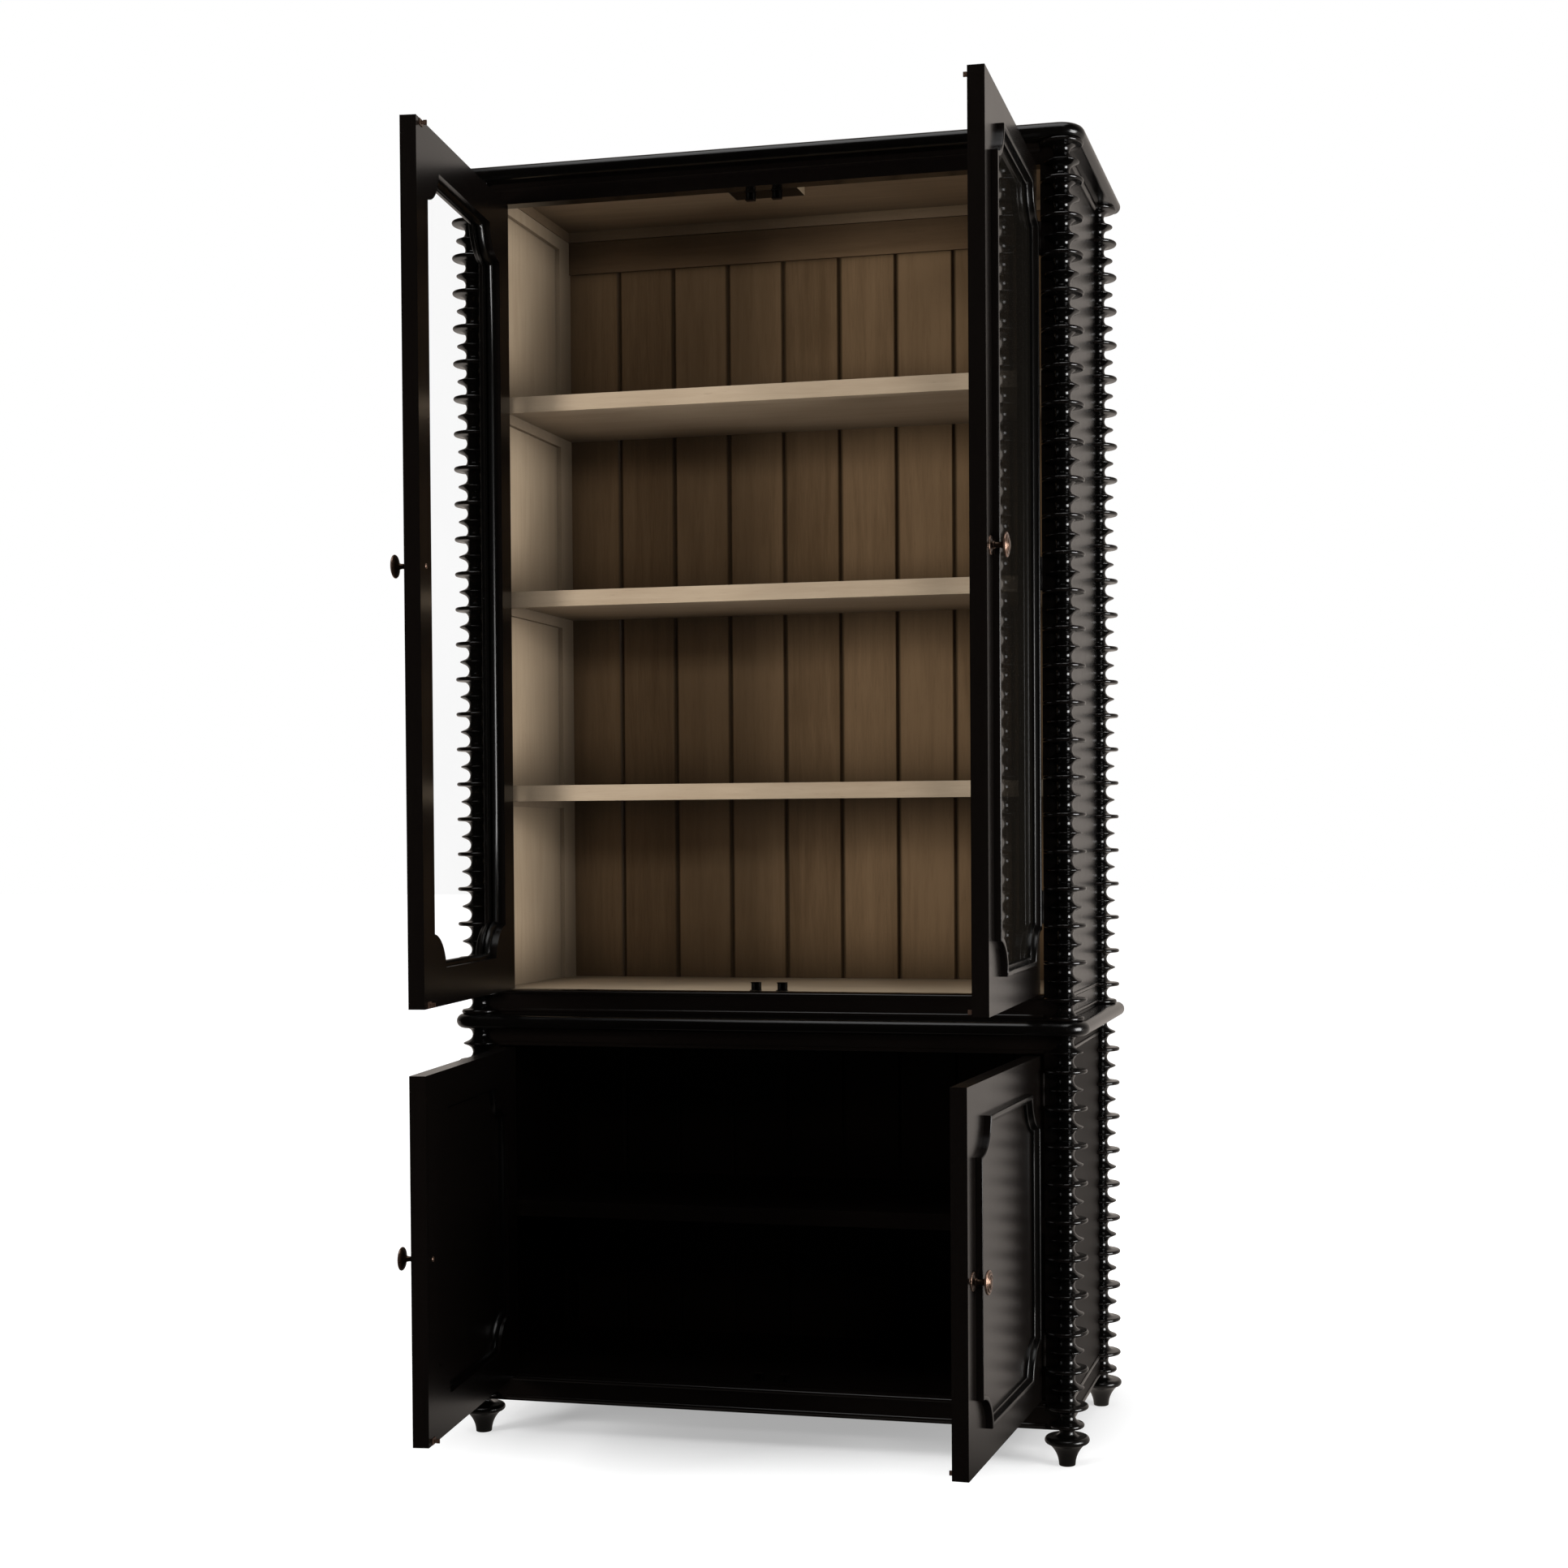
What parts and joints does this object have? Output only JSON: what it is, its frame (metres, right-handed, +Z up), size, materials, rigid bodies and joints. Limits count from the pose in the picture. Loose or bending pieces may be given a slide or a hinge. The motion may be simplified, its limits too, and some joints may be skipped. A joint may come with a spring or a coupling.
{
  "type": "display cabinet",
  "caption": "Tall display cabinet in two tiers, with spool-turned corner posts, glazed doors over panelled doors with hollow corners, fixed shelves and small turned feet.",
  "frame": {"origin": "On the floor, under the middle of the whole object's box as it stands with its doors open.", "axes": "+X to the cabinet's right as seen from its front, +Y from front to back, +Z up."},
  "size_m": [1.22, 0.9973, 2.4],
  "materials": {
    "black_lacquer": "black lacquered hardwood, satin",
    "black_interior": "black painted hardwood inside the lower case",
    "bleached_wood": "bleached, limed hardwood inside the upper case",
    "antique_bronze": "brass, darkened to an antique bronze, worn bright on the edges",
    "clear_glass": "clear float glass"
  },
  "bodies": {
    "case": {"cornice_board": "black_lacquer", "cornice_moulding": "black_lacquer", "upper_top_rail": "black_lacquer", "upper_bottom_rail": "black_lacquer", "front_stiles": "black_lacquer", "upper_side_left": "bleached_wood", "upper_side_right": "bleached_wood", "upper_back_boards": "bleached_wood", "upper_back_rail": "bleached_wood", "upper_ceiling": "bleached_wood", "upper_floor": "bleached_wood", "shelf_top": "bleached_wood", "shelf_middle": "bleached_wood", "shelf_bottom": "bleached_wood", "shelf_cleats": "bleached_wood", "catch_block": "black_lacquer", "upper_post_front_left": "black_lacquer", "upper_post_front_right": "black_lacquer", "upper_post_rear_left": "black_lacquer", "upper_post_rear_right": "black_lacquer", "waist_board": "black_lacquer", "lower_post_front_left": "black_lacquer", "lower_post_front_right": "black_lacquer", "lower_post_rear_left": "black_lacquer", "lower_post_rear_right": "black_lacquer", "feet": "black_lacquer", "lower_top_rail": "black_lacquer", "lower_bottom_rail": "black_lacquer", "rail_beads": "black_lacquer", "lower_side_left": "black_interior", "lower_side_right": "black_interior", "lower_back_boards": "black_interior", "lower_floor": "black_interior", "lower_shelf": "black_interior", "catches": "antique_bronze", "case_hinges": "antique_bronze"},
    "upper_left_door": {"upper_left_door_frame": "black_lacquer", "upper_left_door_moulding": "black_lacquer", "upper_left_glass": "clear_glass", "upper_left_knob": "antique_bronze", "upper_left_hinge_leaves": "antique_bronze", "upper_left_strikes": "antique_bronze"},
    "upper_right_door": {"upper_right_door_frame": "black_lacquer", "upper_right_door_moulding": "black_lacquer", "upper_right_glass": "clear_glass", "upper_right_knob": "antique_bronze", "upper_right_hinge_leaves": "antique_bronze", "upper_right_strikes": "antique_bronze"},
    "lower_left_door": {"lower_left_door_frame": "black_lacquer", "lower_left_door_moulding": "black_lacquer", "lower_left_panel": "black_lacquer", "lower_left_knob": "antique_bronze", "lower_left_hinge_leaves": "antique_bronze", "lower_left_strike": "antique_bronze"},
    "lower_right_door": {"lower_right_door_frame": "black_lacquer", "lower_right_door_moulding": "black_lacquer", "lower_right_panel": "black_lacquer", "lower_right_knob": "antique_bronze", "lower_right_hinge_leaves": "antique_bronze", "lower_right_strike": "antique_bronze"}
  },
  "joints": [
    {"name": "upper_left_door_hinge", "type": "hinge", "parent": "case", "child": "upper_left_door", "pos_m": [-0.5255, 0.02624, 1.593], "axis": [0, 0, 1], "range_deg": [-22, 83]},
    {"name": "upper_right_door_hinge", "type": "hinge", "parent": "case", "child": "upper_right_door", "pos_m": [0.5255, 0.02624, 1.593], "axis": [0, 0, -1], "range_deg": [-14, 91]},
    {"name": "lower_left_door_hinge", "type": "hinge", "parent": "case", "child": "lower_left_door", "pos_m": [-0.5255, 0.02624, 0.428], "axis": [0, 0, 1], "range_deg": [-22, 83]},
    {"name": "lower_right_door_hinge", "type": "hinge", "parent": "case", "child": "lower_right_door", "pos_m": [0.5255, 0.02624, 0.428], "axis": [0, 0, -1], "range_deg": [-18, 87]}
  ]
}
